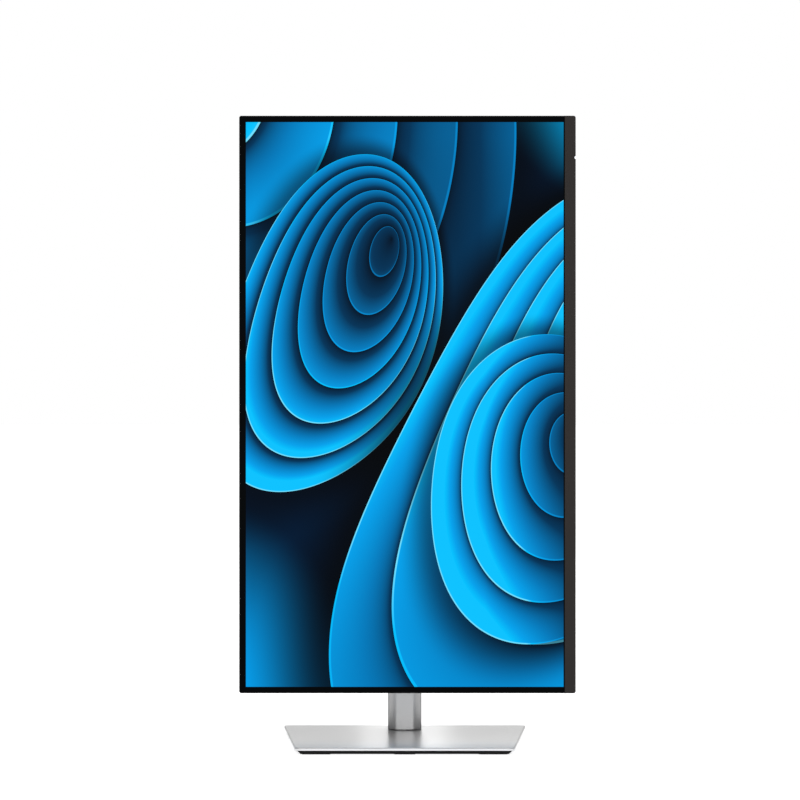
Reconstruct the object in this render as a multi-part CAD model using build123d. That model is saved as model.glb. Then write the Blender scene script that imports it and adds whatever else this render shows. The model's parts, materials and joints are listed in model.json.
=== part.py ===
from build123d import *
import math
import os

# Computer monitor, 24-inch class, on a height-adjustable stand. Millimetres.
# Frame of the whole object: +Z up, the screen faces -Y, origin on the desk under the middle of the base.
# The display is stored upright (portrait), with its chin to the right (+X).
# Head parts are drawn in landscape: x right, y back from the front plane, z up, origin on the pivot axis.

# ---- display outline (landscape) ----
ACTIVE_W = 527.04
ACTIVE_H = 296.46
SIDE_BORDER = 5.9
TOP_BORDER = 6.25
CHIN = 11.3
CORNER_R = 2.0
HALF_W = ACTIVE_W / 2 + SIDE_BORDER
TOP_Z = ACTIVE_H / 2 + TOP_BORDER
BOTTOM_Z = -ACTIVE_H / 2 - CHIN

# ---- display depths, back from the front plane ----
CHIN_PLATE_Y = 1.0
GLASS_Y = 1.15
FRAME_BACK_Y = 9.0
RIM_BACK_Y = 12.0
SLOPE_BACK_Y = 17.0
DISPLAY_DEPTH = 46.0
FRAME_WALL = 1.1
COVER_WALL = 2.0
SLOPE_TAPER = 60.0
BULGE_TAPER = 28.0
BULGE_HALF_W = 172.0
BULGE_TOP = 90.0
BULGE_BOTTOM = -130.0
BULGE_R = 14.0

# ---- features of the back ----
RECESS_W = 122.0
RECESS_DEPTH = 5.0
RECESS_FLOOR_Y = DISPLAY_DEPTH - RECESS_DEPTH
VESA = 100.0
VESA_HOLE_R = 1.65
SOCKET_BAY_HALF_W = 126.0
SOCKET_BAY_TOP = -96.0
SOCKET_BAY_Y = 22.0
STATUS_LIGHT_X = HALF_W - 39.1
POWER_BUTTON_X = STATUS_LIGHT_X + 12.0
STICK_X = 228.0
STICK_Z = -138.0
RELEASE_Z = -78.0
COVER_SCREW_PLACES = [(-240, 130), (240, 130), (-240, -120), (190, -120)]

# ---- stand placing in the whole frame ----
PIVOT_Z = 320.0
DISPLAY_FRONT_Y = -33.0
TILT_Y = 30.0
COLUMN_FRONT_Y = 46.0
COLUMN_BACK_Y = 82.0
SWIVEL_Y = (COLUMN_FRONT_Y + COLUMN_BACK_Y) / 2
COLUMN_HALF_W = 16.1
COLUMN_WALL = 2.2
COLUMN_BOTTOM_Z = 7.6
COLUMN_TOP_Z = 355.0
COLUMN_FRONT_R = 8.5
COLUMN_BACK_R = 6.0
CAP_TOP_Z = 360.0
SLOT_HALF_W = 6.5
SLOT_BOTTOM_Z = 163.0
CABLE_SLOT_Z = 92.0
CABLE_SLOT_H = 45.0
CABLE_SLOT_W = 13.2

# ---- base ----
BASE_HALF_DEPTH = 90.0
BASE_FRONT_HALF_W = 100.2
BASE_BACK_HALF_W = 117.9
BASE_TOP_Z = 6.7
COVER_PLATE_Z = 4.1
TRAY_Z = 0.5
TRAY_FLOOR_Z = 1.7
TRAY_INSET = 1.7
WEIGHT_INSET = 8.0

# ---- lift, tilt and pivot hardware ----
RAIL_X = 8.8
RAIL_Y = 70.0
RAIL_R = 2.0
RAIL_BOTTOM_Z = 126.0
BUSH_R = 3.4
CARRIAGE_TOP = 9.0
CARRIAGE_BOTTOM = -62.0
ROLL_Y = 62.0
ROLL_DROP = -40.0
ROLL_R = 11.3
SPOOL_R = 5.0
TAPE_HALF_W = 4.0
TILT_PIN_R = 3.0
PIVOT_SHAFT_R = 8.0
EAR_X = 16.0
EAR_T = 3.5
RUN = 0.05
FIT = 0.02


# ---------------------------------------------------------------- helpers
def block(x0, x1, y0, y1, z0, z1):
    """Box between two corners."""
    middle = Pos((x0 + x1) / 2, (y0 + y1) / 2, (z0 + z1) / 2)
    return middle * Box(x1 - x0, y1 - y0, z1 - z0)


def rod_x(x0, x1, y, z, radius):
    return Pos((x0 + x1) / 2, y, z) * Rot(0, 90, 0) * Cylinder(radius, x1 - x0)


def rod_y(x, y0, y1, z, radius):
    return Pos(x, (y0 + y1) / 2, z) * Rot(90, 0, 0) * Cylinder(radius, y1 - y0)


def rod_z(x, y, z0, z1, radius):
    return Pos(x, y, (z0 + z1) / 2) * Cylinder(radius, z1 - z0)


def panel_y(half_w, z0, z1, y0, y1, corner=0.0):
    """Plate facing front and back, with rounded corners."""
    outline = Rectangle(2 * half_w, z1 - z0)
    if corner > 0:
        outline = RectangleRounded(2 * half_w, z1 - z0, corner)
    placed = Plane.XZ.offset(-y1) * Pos(0, (z0 + z1) / 2) * outline
    return extrude(placed, amount=y1 - y0)


def tapered_y(half_w, z0, z1, y0, y1, corner, taper):
    """Rounded plate whose sides close in towards the back."""
    facing_back = Plane(origin=(0, y0, 0), x_dir=(1, 0, 0), z_dir=(0, 1, 0))
    outline = facing_back * Pos(0, -(z0 + z1) / 2) * RectangleRounded(2 * half_w, z1 - z0, corner)
    return extrude(outline, amount=y1 - y0, taper=taper)


def joined(pieces):
    whole = pieces[0]
    for piece in pieces[1:]:
        whole = whole + piece
    return whole


def group(pieces):
    """Several separate solids in one node."""
    return Compound(children=[Compound(piece.wrapped) for piece in pieces])


def hex_nut_y(x, y0, y1, z, flat_r, hole_r):
    side = RegularPolygon(flat_r, 6, major_radius=False)
    body = extrude(Plane.XZ.offset(-y1) * Pos(x, z) * side, amount=y1 - y0)
    return body - rod_y(x, y0 - 1, y1 + 1, z, hole_r)


def upright(part):
    """Carry a head part from its landscape drawing to its stored portrait place."""
    return Pos(0, DISPLAY_FRONT_Y, PIVOT_Z) * Rot(0, -90, 0) * part


def save(name, part, in_head=False):
    placed = upright(part) if in_head else part
    export_step(placed, os.path.join("parts", name + ".step"))


# ---------------------------------------------------------------- screen front
FRAME_SILL = 1.33
LIGHT_PIPE_HALF = 1.0
LIGHT_PIPE_T = 0.9
LIGHT_PIPE_NOSE_Y = 2.5
LIGHT_PIPE_BACK_Y = 11.0
LIGHT_PIPE_TOP = 2.5
LIGHT_PIPE_RISE = 3.4


def light_pipe(gap=0.0):
    """Clear bar for the standby light: it shows in a notch in the chin's lower edge and runs back inside."""
    half = LIGHT_PIPE_HALF + gap
    low = BOTTOM_Z - gap
    inside_low = BOTTOM_Z + FRAME_SILL + FIT - gap
    top = BOTTOM_Z + LIGHT_PIPE_TOP + gap
    nose_back = LIGHT_PIPE_NOSE_Y + gap
    bend_front = LIGHT_PIPE_NOSE_Y - 1 - gap
    back = LIGHT_PIPE_BACK_Y + gap
    nose = block(-half, half, -gap, nose_back, low, BOTTOM_Z + LIGHT_PIPE_T + gap)
    bend = block(-half, half, bend_front, nose_back, low, top)
    run = block(-half, half, bend_front, back, inside_low, top)
    riser = block(-half, half, LIGHT_PIPE_BACK_Y - 1 - gap, back, inside_low, BOTTOM_Z + LIGHT_PIPE_RISE + gap)
    return Pos(STATUS_LIGHT_X, 0, 0) * (nose + bend + run + riser)


FRAME_INNER_R = 0.4
CHIN_GAP = 0.92
CHIN_BEVEL = 0.3


def front_frame():
    """Slim plastic frame round the glass."""
    outside = panel_y(HALF_W, BOTTOM_Z, TOP_Z, CHIN_PLATE_Y, FRAME_BACK_Y, CORNER_R)
    inner_half = HALF_W - FRAME_WALL
    inner_bottom = BOTTOM_Z + FRAME_SILL
    inside = panel_y(inner_half, inner_bottom, TOP_Z - FRAME_WALL, 0, FRAME_BACK_Y + 1, FRAME_INNER_R)
    return outside - inside - light_pipe(FIT)


def chin_strip():
    """Bar over the panel's electronics along the lower border."""
    strip = panel_y(HALF_W, BOTTOM_Z, TOP_Z, 0, CHIN_PLATE_Y, CORNER_R)
    strip = strip - block(-HALF_W - 1, HALF_W + 1, -1, 2, BOTTOM_Z + CHIN - CHIN_GAP, TOP_Z + 1)
    front_edges = strip.faces().sort_by(Axis.Y)[0].edges().filter_by(Axis.X)
    return chamfer(front_edges, CHIN_BEVEL) - light_pipe(FIT)


# the glass cell, front to back: film, colour glass, transistor glass with its ledge below, film
CELL_GAP = 0.15
CELL_HALF_W = HALF_W - FRAME_WALL - CELL_GAP
CELL_TOP = TOP_Z - FRAME_WALL - CELL_GAP
CELL_BOTTOM = -150.6
LEDGE_BOTTOM = -155.0
COLOUR_GLASS_Y = GLASS_Y + 0.2
TRANSISTOR_GLASS_Y = GLASS_Y + 0.7
REAR_FILM_Y = GLASS_Y + 1.2
CELL_BACK_Y = GLASS_Y + 1.35


def front_polarizer():
    return panel_y(CELL_HALF_W, CELL_BOTTOM, CELL_TOP, GLASS_Y, COLOUR_GLASS_Y)


def colour_filter_glass():
    return panel_y(CELL_HALF_W, CELL_BOTTOM, CELL_TOP, COLOUR_GLASS_Y, TRANSISTOR_GLASS_Y)


def transistor_glass():
    return panel_y(CELL_HALF_W, LEDGE_BOTTOM, CELL_TOP, TRANSISTOR_GLASS_Y, REAR_FILM_Y)


def rear_polarizer():
    return panel_y(CELL_HALF_W - 2, CELL_BOTTOM, CELL_TOP - 2, REAR_FILM_Y, CELL_BACK_Y)


# the backlight behind the glass
PANEL_FRAME_Y = GLASS_Y + 1.4
PANEL_FRAME_BACK_Y = 8.4
PANEL_FRAME_BOTTOM = -156.6
PANEL_FRAME_T = 0.7
WINDOW_MARGIN = 0.8
FILM_HALF_W = 265.4
FILM_TOP = 150.8
FILM_BOTTOM = -151.5
FILM_POCKET_Y = 3.2
FILM_POCKET_GAP = 0.5
FILM_PLACES = [(3.25, 3.55), (3.6, 3.9), (3.95, 4.25), (6.75, 6.95)]
GUIDE_BOTTOM = -153.3
GUIDE_FRONT_Y = 4.3
GUIDE_BACK_Y = 6.7
TRAY_BOTTOM = -155.7
TRAY_FRONT_Y = 7.0
TRAY_BACK_Y = 7.8


def panel_frame():
    """Moulded white ring that holds the glass in front and the films behind it."""
    ring = panel_y(CELL_HALF_W, PANEL_FRAME_BOTTOM, CELL_TOP, PANEL_FRAME_Y, PANEL_FRAME_BACK_Y)
    pocket = panel_y(
        FILM_HALF_W + FILM_POCKET_GAP,
        PANEL_FRAME_BOTTOM + PANEL_FRAME_T,
        FILM_TOP + FILM_POCKET_GAP,
        FILM_POCKET_Y,
        PANEL_FRAME_BACK_Y + 1,
    )
    half_w = ACTIVE_W / 2 + WINDOW_MARGIN
    half_h = ACTIVE_H / 2 + WINDOW_MARGIN
    return ring - pocket - panel_y(half_w, -half_h, half_h, 0, PANEL_FRAME_BACK_Y + 1)


def film(y0, y1):
    """Thin sheet: three diffusing films before the light guide, a reflector behind it."""
    return panel_y(FILM_HALF_W, FILM_BOTTOM, FILM_TOP, y0, y1)


LED_PITCH = 22.0
LED_COUNT = 23
LED_BOARD_HALF_W = 262.0
LED_BOARD_Z = -155.8
LED_BOARD_T = 1.0
LED_HALF_W = 3.5
LED_T = 1.4


def led_strip():
    """Narrow circuit board with the backlight's lamps in a row."""
    lamp_z = LED_BOARD_Z + LED_BOARD_T
    strip = block(-LED_BOARD_HALF_W, LED_BOARD_HALF_W, 3.4, 6.9, LED_BOARD_Z, lamp_z)
    for i in range(LED_COUNT):
        x = (i - (LED_COUNT - 1) / 2) * LED_PITCH
        strip = strip + block(x - LED_HALF_W, x + LED_HALF_W, 4.4, 6.6, lamp_z, lamp_z + LED_T)
    return strip


def light_guide():
    return panel_y(FILM_HALF_W, GUIDE_BOTTOM, FILM_TOP, GUIDE_FRONT_Y, GUIDE_BACK_Y)


RIB_X = 210.0
RIB_HALF_W = 8.0
RIB_T = 0.8
LUG_HALF_W = 6.0
LUG_Y = 10.15
LUG_T = 1.0
COVER_SCREW_HOLE_R = 1.5


def panel_tray():
    """Pressed metal back of the panel, with stiffening ribs and the lugs that the cover is screwed to."""
    tray = panel_y(FILM_HALF_W + 0.3, TRAY_BOTTOM, FILM_TOP + 0.3, TRAY_FRONT_Y, TRAY_BACK_Y)
    for x in (-RIB_X, RIB_X):
        tray = tray + block(x - RIB_HALF_W, x + RIB_HALF_W, TRAY_BACK_Y, TRAY_BACK_Y + RIB_T, -110, 120)
    for x, z in COVER_SCREW_PLACES:
        top = z + LUG_HALF_W + LUG_T
        lug = block(x - LUG_HALF_W, x + LUG_HALF_W, LUG_Y, LUG_Y + LUG_T, z - LUG_HALF_W, top)
        foot = block(x - LUG_HALF_W, x + LUG_HALF_W, TRAY_BACK_Y, LUG_Y, z + LUG_HALF_W, top)
        tray = tray + lug + foot - rod_y(x, LUG_Y - 1, LUG_Y + 2, z, COVER_SCREW_HOLE_R)
    return tray


TAPE_COUNT = 8
TAPE_PITCH = 48.0
TAPE_SIDE = 11.0
FLEX_T = 0.15
TAPE_LOW_Z = -157.2
DRIVER_BOARD_Y = 8.8
DRIVER_BOARD_T = 1.0


def driver_tapes():
    """Flexible tapes that wrap from the glass ledge round the lower edge to the driver board."""
    tapes = []
    front_y = TRANSISTOR_GLASS_Y - FLEX_T
    back_y = DRIVER_BOARD_Y - 0.05
    for i in range(TAPE_COUNT):
        x = (i - (TAPE_COUNT - 1) / 2) * TAPE_PITCH
        x0, x1 = x - TAPE_SIDE, x + TAPE_SIDE
        front = block(x0, x1, front_y, TRANSISTOR_GLASS_Y, TAPE_LOW_Z, FILM_BOTTOM)
        under = block(x0, x1, front_y, back_y, TAPE_LOW_Z, TAPE_LOW_Z + FLEX_T)
        back = block(x0, x1, back_y - FLEX_T, back_y, TAPE_LOW_Z, -146.0)
        tapes.append(front + under + back)
    return tapes


def driver_board():
    """Long narrow board along the panel's lower edge, with its row of connectors."""
    board_back = DRIVER_BOARD_Y + DRIVER_BOARD_T
    board = block(-195, 195, DRIVER_BOARD_Y, board_back, -156.5, -141.0)
    for i in range(TAPE_COUNT - 1):
        x = (i - (TAPE_COUNT - 2) / 2) * TAPE_PITCH
        board = board + block(x - 5, x + 5, board_back, board_back + 1.2, -150, -144)
    return board


# ---------------------------------------------------------------- back cover
def cover_body(inset):
    """Stepped body of the back cover: rim, sloped border and central bulge."""
    corner = max(CORNER_R - inset, 0.5)
    low = BOTTOM_Z + inset
    high = TOP_Z - inset
    half = HALF_W - inset
    rim = panel_y(half, low, high, FRAME_BACK_Y, RIM_BACK_Y, corner)
    slope = tapered_y(half, low, high, RIM_BACK_Y, SLOPE_BACK_Y - inset, corner, SLOPE_TAPER)
    bulge = tapered_y(
        BULGE_HALF_W - inset,
        BULGE_BOTTOM + inset,
        BULGE_TOP - inset,
        SLOPE_BACK_Y - 3.5,
        DISPLAY_DEPTH - inset,
        BULGE_R - inset,
        BULGE_TAPER,
    )
    return rim, slope, bulge


VENT_PITCH = 7.5
VENT_HALF_W = 1.3
BULGE_VENTS = 37
BORDER_VENTS = 25


def vent_row(count, y0, y1, z0, z1):
    """Row of narrow slots side by side."""
    slots = []
    for i in range(count):
        x = (i - (count - 1) / 2) * VENT_PITCH
        slots.append(block(x - VENT_HALF_W, x + VENT_HALF_W, y0, y1, z0, z1))
    return slots


def vent_slots():
    """One row through the bulge's upper flank and one through the border above it."""
    upper_flank = vent_row(BULGE_VENTS, 22, 38, 60, 95)
    return upper_flank + vent_row(BORDER_VENTS, SLOPE_BACK_Y - 4, SLOPE_BACK_Y + 1, 118, 132)


POWER_INLET_X = 96.0
INLET_HALF_W = 14.0
INLET_FRONT_Y = 21.0
INLET_BACK_Y = 41.0
INLET_WALL = 2.0
RELEASE_HALF_W = 11.0
RELEASE_HALF_H = 5.0
BUTTON_HALF_W = 7.0
BUTTON_FRONT_Y = 10.0
BUTTON_BACK_Y = 14.0
BUTTON_GAP = 0.1
HOOK_X = 25.0
HOOK_HALF_W = 5.0
BOSS_R = 3.6


# sockets along the bay, as centre x, opening width and opening height: two video, then three data
SOCKETS = [(34.0, 14.0, 4.6), (4.0, 16.2, 4.8), (-30.0, 8.6, 7.9), (-56.0, 13.2, 5.8), (-80.0, 13.2, 5.8)]
SOCKET_MID_Y = 31.0
SOCKET_SHELL = 0.6


def rear_cover():
    """Back shell: stand recess, socket bay, vents, screw bosses, button openings and lock slot."""
    rim, slope, bulge = cover_body(0.0)
    top_face = bulge.faces().sort_by(Axis.Y)[-1]
    bulge = fillet(top_face.edges(), 5.0)
    bay = block(-SOCKET_BAY_HALF_W, SOCKET_BAY_HALF_W, SOCKET_BAY_Y, 60, -160, SOCKET_BAY_TOP)
    recess = panel_y(RECESS_W / 2, -RECESS_W / 2, RECESS_W / 2, RECESS_FLOOR_Y, 60, 8)
    outside = rim + slope + bulge - bay - recess
    rim_in, slope_in, bulge_in = cover_body(COVER_WALL)
    front_in = panel_y(HALF_W - COVER_WALL, BOTTOM_Z + COVER_WALL, TOP_Z - COVER_WALL, 8, 10, 0.5)
    bay_wall = block(
        -SOCKET_BAY_HALF_W - COVER_WALL,
        SOCKET_BAY_HALF_W + COVER_WALL,
        SOCKET_BAY_Y - COVER_WALL,
        60,
        -160,
        SOCKET_BAY_TOP + COVER_WALL,
    )
    half = RECESS_W / 2 + COVER_WALL
    recess_wall = panel_y(half, -half, half, RECESS_FLOOR_Y - COVER_WALL, 60, 10)
    inside = rim_in + slope_in + bulge_in + front_in - bay_wall - recess_wall
    cover = outside - inside
    for slot in vent_slots():
        cover = cover - slot
    for x in (-VESA / 2, VESA / 2):
        for z in (-VESA / 2, VESA / 2):
            cover = cover - rod_y(x, 30, 50, z, 2.6)
    reach = SOCKET_SHELL + FIT
    for x, width, height in SOCKETS:
        y0 = SOCKET_MID_Y - height / 2 - reach
        y1 = SOCKET_MID_Y + height / 2 + reach
        cover = cover - block(x - width / 2 - reach, x + width / 2 + reach, y0, y1, -100, -90)
    inlet_half = INLET_HALF_W + 0.1
    inlet_y0 = INLET_FRONT_Y - 0.1
    inlet_y1 = INLET_BACK_Y + 0.1
    x0, x1 = POWER_INLET_X - inlet_half, POWER_INLET_X + inlet_half
    cover = cover - block(x0, x1, inlet_y0, inlet_y1, -100, -90)
    release_half = RELEASE_HALF_W + 0.3
    release_low = RELEASE_Z - RELEASE_HALF_H - 0.3
    cover = cover - block(-release_half, release_half, 40, 50, release_low, RELEASE_Z + RELEASE_HALF_H + 0.3)
    cover = cover - block(-8.3, 8.3, 38, 42, -42.8, -39.7)
    for x in (-HOOK_X, HOOK_X):
        cover = cover - block(x - HOOK_HALF_W - 0.3, x + HOOK_HALF_W + 0.3, 38, 42, 31.7, 38.3)
    cover = cover - rod_y(STICK_X, 14, 18, STICK_Z, 5.0)
    button_half = BUTTON_HALF_W + BUTTON_GAP
    button_y0 = BUTTON_FRONT_Y - BUTTON_GAP
    button_y1 = BUTTON_BACK_Y + BUTTON_GAP
    x0, x1 = POWER_BUTTON_X - button_half, POWER_BUTTON_X + button_half
    cover = cover - block(x0, x1, button_y0, button_y1, -162, -155)
    cover = cover - light_pipe(FIT)
    for x, z in COVER_SCREW_PLACES:
        boss = rod_y(x, 11.2, 15.1, z, BOSS_R)
        cover = cover + boss - rod_y(x, 10, 14, z, 1.3)
    lock_slot = block(-BULGE_HALF_W - 5, -150, 29, 32, -65, -58)
    return cover - lock_slot


def cover_screws():
    """Small screws through the panel's back lugs into the cover's bosses."""
    screws = []
    for x, z in COVER_SCREW_PLACES:
        head = rod_y(x, 8.7, 10.1, z, 2.6)
        shank = rod_y(x, 10.1, 13.6, z, 1.25)
        screws.append(head + shank)
    return screws


# ---------------------------------------------------------------- electronics
BRACKET_Y = 11.4
BOARD_Y = 17.0
SPRING_SEAT_Y = 27.6


def board_bracket():
    """Sheet metal chassis that carries the boards and the four wall-mount bosses."""
    plate = panel_y(150, -92, 70, BRACKET_Y, BRACKET_Y + 1.0, 4)
    for x in (-90, 90):
        plate = plate - block(x - 25, x + 25, 10, 13, 30, 55)
    for x in (-144, 144):
        for z in (-84, 62):
            plate = plate + rod_y(x, 7.8, BRACKET_Y, z, 3.0)
    for x in (-VESA / 2, VESA / 2):
        for z in (-VESA / 2, VESA / 2):
            plate = plate + rod_y(x, BRACKET_Y + 1.0, RECESS_FLOOR_Y - COVER_WALL, z, 4.8)
            plate = plate - rod_y(x, 25, 50, z, VESA_HOLE_R)
    for x in (-138, -62, 62, 142):
        plate = plate + rod_y(x, BRACKET_Y + 1.0, BOARD_Y, -20, 2.5)
    post = rod_y(0, BRACKET_Y + 1.0, SPRING_SEAT_Y, RELEASE_Z, 3.6)
    return plate + post


def main_board():
    """Signal board: a wide area on the left and a strip behind the video sockets."""
    board = block(-146, -44, BOARD_Y, BOARD_Y + 1.6, -92, -10)
    board = board + block(-44, 47, BOARD_Y, BOARD_Y + 1.6, -92, -62)
    return board - vesa_clearance() - rod_y(0, 10, 30, RELEASE_Z, 4.2)


def power_board():
    return block(48, 148, BOARD_Y, BOARD_Y + 1.6, -92, 40) - vesa_clearance()


def vesa_clearance():
    posts = [
        rod_y(x, 10, 45, z, 5.4)
        for x in (-VESA / 2, VESA / 2)
        for z in (-VESA / 2, VESA / 2)
    ]
    return joined(posts)


def board_chips():
    top = BOARD_Y + 1.6
    return [
        block(-118, -98, top, top + 2.2, -52, -32),
        block(-84, -72, top, top + 1.4, -46, -34),
        block(-84, -72, top, top + 1.4, -28, -16),
        block(-138, -128, top, top + 1.6, -70, -60),
        block(-26, -14, top, top + 1.4, -78, -66),
        block(14, 22, top, top + 1.2, -76, -68),
    ]


def chip_heatsink():
    foot = BOARD_Y + 1.6 + 2.2
    fins = [block(-120, -96, foot, foot + 2, -54, -30)]
    for i in range(6):
        x = -119.2 + i * 4.4
        fins.append(block(x, x + 1.2, foot + 2, foot + 9, -54, -30))
    return joined(fins)


def socket_shells():
    shells = []
    for x, width, height in SOCKETS:
        y0 = SOCKET_MID_Y - height / 2
        y1 = SOCKET_MID_Y + height / 2
        outer = block(
            x - width / 2 - SOCKET_SHELL,
            x + width / 2 + SOCKET_SHELL,
            y0 - SOCKET_SHELL,
            y1 + SOCKET_SHELL,
            SOCKET_BAY_TOP - 0.5,
            SOCKET_BAY_TOP + 13.0,
        )
        hollow = block(x - width / 2, x + width / 2, y0, y1, SOCKET_BAY_TOP - 1, SOCKET_BAY_TOP + 12.0)
        shells.append(outer - hollow)
    return shells


def socket_tongues():
    """Contact tongues inside the sockets, lying against one long wall."""
    tongues = []
    for x, width, height in SOCKETS:
        y0 = SOCKET_MID_Y - height / 2
        wide = width * 0.4
        low = SOCKET_BAY_TOP + 4.0
        tongues.append(block(x - wide, x + wide, y0, y0 + 0.5, low, SOCKET_BAY_TOP + 12.0))
    return tongues


def power_inlet():
    """Three-pin appliance inlet with its deep mouth."""
    left = POWER_INLET_X - INLET_HALF_W
    right = POWER_INLET_X + INLET_HALF_W
    outer = block(left, right, INLET_FRONT_Y, INLET_BACK_Y, -96.5, -74)
    y0, y1 = INLET_FRONT_Y + INLET_WALL, INLET_BACK_Y - INLET_WALL
    mouth = block(left + INLET_WALL, right - INLET_WALL, y0, y1, -97, -78)
    return outer - mouth


def inlet_pins():
    y = 31.0
    pins = [
        block(POWER_INLET_X - 1, POWER_INLET_X + 1, y + 1.5, y + 5.5, -92, -78),
        block(POWER_INLET_X - 8, POWER_INLET_X - 6, y - 4.5, y - 0.5, -92, -78),
        block(POWER_INLET_X + 6, POWER_INLET_X + 8, y - 4.5, y - 0.5, -92, -78),
    ]
    return pins


def power_transformer():
    top = BOARD_Y + 1.6
    core = block(86, 112, top, top + 16, -26, -2)
    windings = rod_y(99, top + 1.0, top + 15, 3.5, 10)
    return core + (windings & block(80, 118, 0, 60, -2, 20))


def capacitors():
    top = BOARD_Y + 1.6
    places = [(72, -30, 9.0, 17), (72, -8, 6.0, 15), (124, -58, 5.0, 13), (138, -58, 5.0, 13)]
    return [rod_y(x, top, top + height, z, radius) for x, z, radius, height in places]


def power_coils():
    top = BOARD_Y + 1.6
    coils = []
    for z in (-40, 22):
        ring = rod_y(128, top, top + 8, z, 10) - rod_y(128, top - 1, top + 9, z, 4.5)
        coils.append(ring)
    return coils


def key_board():
    return block(208, 250, 9.2, 10.2, -150, -126)


def stick_switch():
    return block(STICK_X - 4, STICK_X + 4, 10.2, 12.4, STICK_Z - 4, STICK_Z + 4)


def button_switch():
    body = block(POWER_BUTTON_X - 3, POWER_BUTTON_X + 3, 10.4, 13.6, -153.6, -151.2)
    arm = block(POWER_BUTTON_X - 3, POWER_BUTTON_X + 3, 10.4, 13.6, -151.2, -150.2)
    return body + arm


# ---------------------------------------------------------------- head controls
def power_button():
    """Button in the lower edge of the display, pressed upwards in landscape."""
    left = POWER_BUTTON_X - BUTTON_HALF_W
    right = POWER_BUTTON_X + BUTTON_HALF_W
    cap = block(left, right, BUTTON_FRONT_Y, BUTTON_BACK_Y, BOTTOM_Z, BOTTOM_Z + 2.2)
    guide = block(POWER_BUTTON_X - 1.5, POWER_BUTTON_X + 1.5, 11.0, 13.0, BOTTOM_Z + 2.2, -154.2)
    return cap + guide


def stick_plunger():
    return rod_y(STICK_X, 12.8, 13.4, STICK_Z, 3.0)


def stick_ring():
    return rod_y(STICK_X, 13.9, 14.5, STICK_Z, 3.9) - rod_y(STICK_X, 13, 16, STICK_Z, 2.9)


def stick_cap():
    stem = rod_y(STICK_X, 13.8, 17.4, STICK_Z, 1.3)
    knob = rod_y(STICK_X, 17.4, 20.4, STICK_Z, 3.4) - rod_y(STICK_X, 20.0, 21, STICK_Z, 2.2)
    return stem + knob


def release_button():
    low = RELEASE_Z - RELEASE_HALF_H
    cap = block(-RELEASE_HALF_W, RELEASE_HALF_W, 42.5, 47.0, low, RELEASE_Z + RELEASE_HALF_H)
    cap = fillet(cap.edges().filter_by(Axis.Y), 1.5)
    return cap + block(-3, 3, 36, 42.5, RELEASE_Z - 3, RELEASE_Z + 3)


def release_latch():
    plate = block(-9, 9, 35.1, 37.4, -66, -43.6)
    tongue = block(-3.7, 3.7, 35.1, 37.4, -43.6, -38.9)
    return plate + tongue


def release_spring():
    """Coil spring between the chassis and the release button."""
    turns_from = SPRING_SEAT_Y + 0.4
    turns_to = 35.4
    coil = Helix(pitch=1.8, height=turns_to - turns_from, radius=2.6)
    wire = sweep(Plane(coil @ 0, z_dir=coil % 0) * Circle(0.35), path=coil, is_frenet=True)
    return Pos(0, turns_from, RELEASE_Z) * Rot(-90, 0, 0) * wire


# ---------------------------------------------------------------- stand mount on the head
def mount_plate():
    """Quick-release plate in the cover's recess: two hooks above, one latch tab below."""
    plate = panel_y(44, -44, 44, RECESS_FLOOR_Y, RECESS_FLOOR_Y + 2.5, 10)
    for x in (-HOOK_X, HOOK_X):
        x0, x1 = x - HOOK_HALF_W, x + HOOK_HALF_W
        plate = plate + block(x0, x1, 36.5, RECESS_FLOOR_Y, 32, 34.5)
        plate = plate + block(x0, x1, 36.5, 38.6, 34.5, 41.0)
    tab = block(-8, 8, 34, RECESS_FLOOR_Y, -42.5, -40.0) - block(-4, 4, 34.8, 37.7, -45, -38)
    plate = plate + tab
    back_edges = plate.faces().sort_by(Axis.Y)[-1].edges()
    return chamfer(back_edges, 0.6)


SHAFT_FOOT_Y = RECESS_FLOOR_Y + 2.5


def pivot_shaft():
    foot = rod_y(0, SHAFT_FOOT_Y, SHAFT_FOOT_Y + 1.5, 0, 12)
    return foot + rod_y(0, SHAFT_FOOT_Y + 1.5, 54.8, 0, PIVOT_SHAFT_R)


def washer_y(y0, y1, outer, inner):
    return rod_y(0, y0, y1, 0, outer) - rod_y(0, y0 - 1, y1 + 1, 0, inner)


def pivot_washers():
    hole = PIVOT_SHAFT_R + FIT
    return [washer_y(45.1, 46.4, 14, hole), washer_y(49.6, 50.9, 14, hole)]


def pivot_nut():
    return hex_nut_y(0, 51.0, 54.6, 0, 12.0, PIVOT_SHAFT_R + FIT)


# ---------------------------------------------------------------- tilt head
BRACKET_FRONT_Y = DISPLAY_FRONT_Y + 46.5
BRACKET_PLATE_T = 3.0


def tilt_bracket():
    back = BRACKET_FRONT_Y + BRACKET_PLATE_T
    plate = block(-EAR_X - EAR_T, EAR_X + EAR_T, BRACKET_FRONT_Y, back, PIVOT_Z - 20, PIVOT_Z + 20)
    plate = fillet(plate.edges().filter_by(Axis.Y), 4)
    bracket = plate - rod_y(0, 0, 40, PIVOT_Z, PIVOT_SHAFT_R + RUN)
    for side in (-1, 1):
        near = min(side * EAR_X, side * (EAR_X + EAR_T))
        far = max(side * EAR_X, side * (EAR_X + EAR_T))
        ear = block(near, far, back, TILT_Y, PIVOT_Z - 8, PIVOT_Z + 8)
        bracket = bracket + ear + rod_x(near, far, TILT_Y, PIVOT_Z, 8)
    return bracket - rod_x(-30, 30, TILT_Y, PIVOT_Z, TILT_PIN_R + FIT)


def tilt_pin():
    pin = rod_x(-21.5, 21.5, TILT_Y, PIVOT_Z, TILT_PIN_R)
    heads = rod_x(-22.8, -21.5, TILT_Y, PIVOT_Z, 4.6) + rod_x(21.5, 22.8, TILT_Y, PIVOT_Z, 4.6)
    return pin + heads


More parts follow.
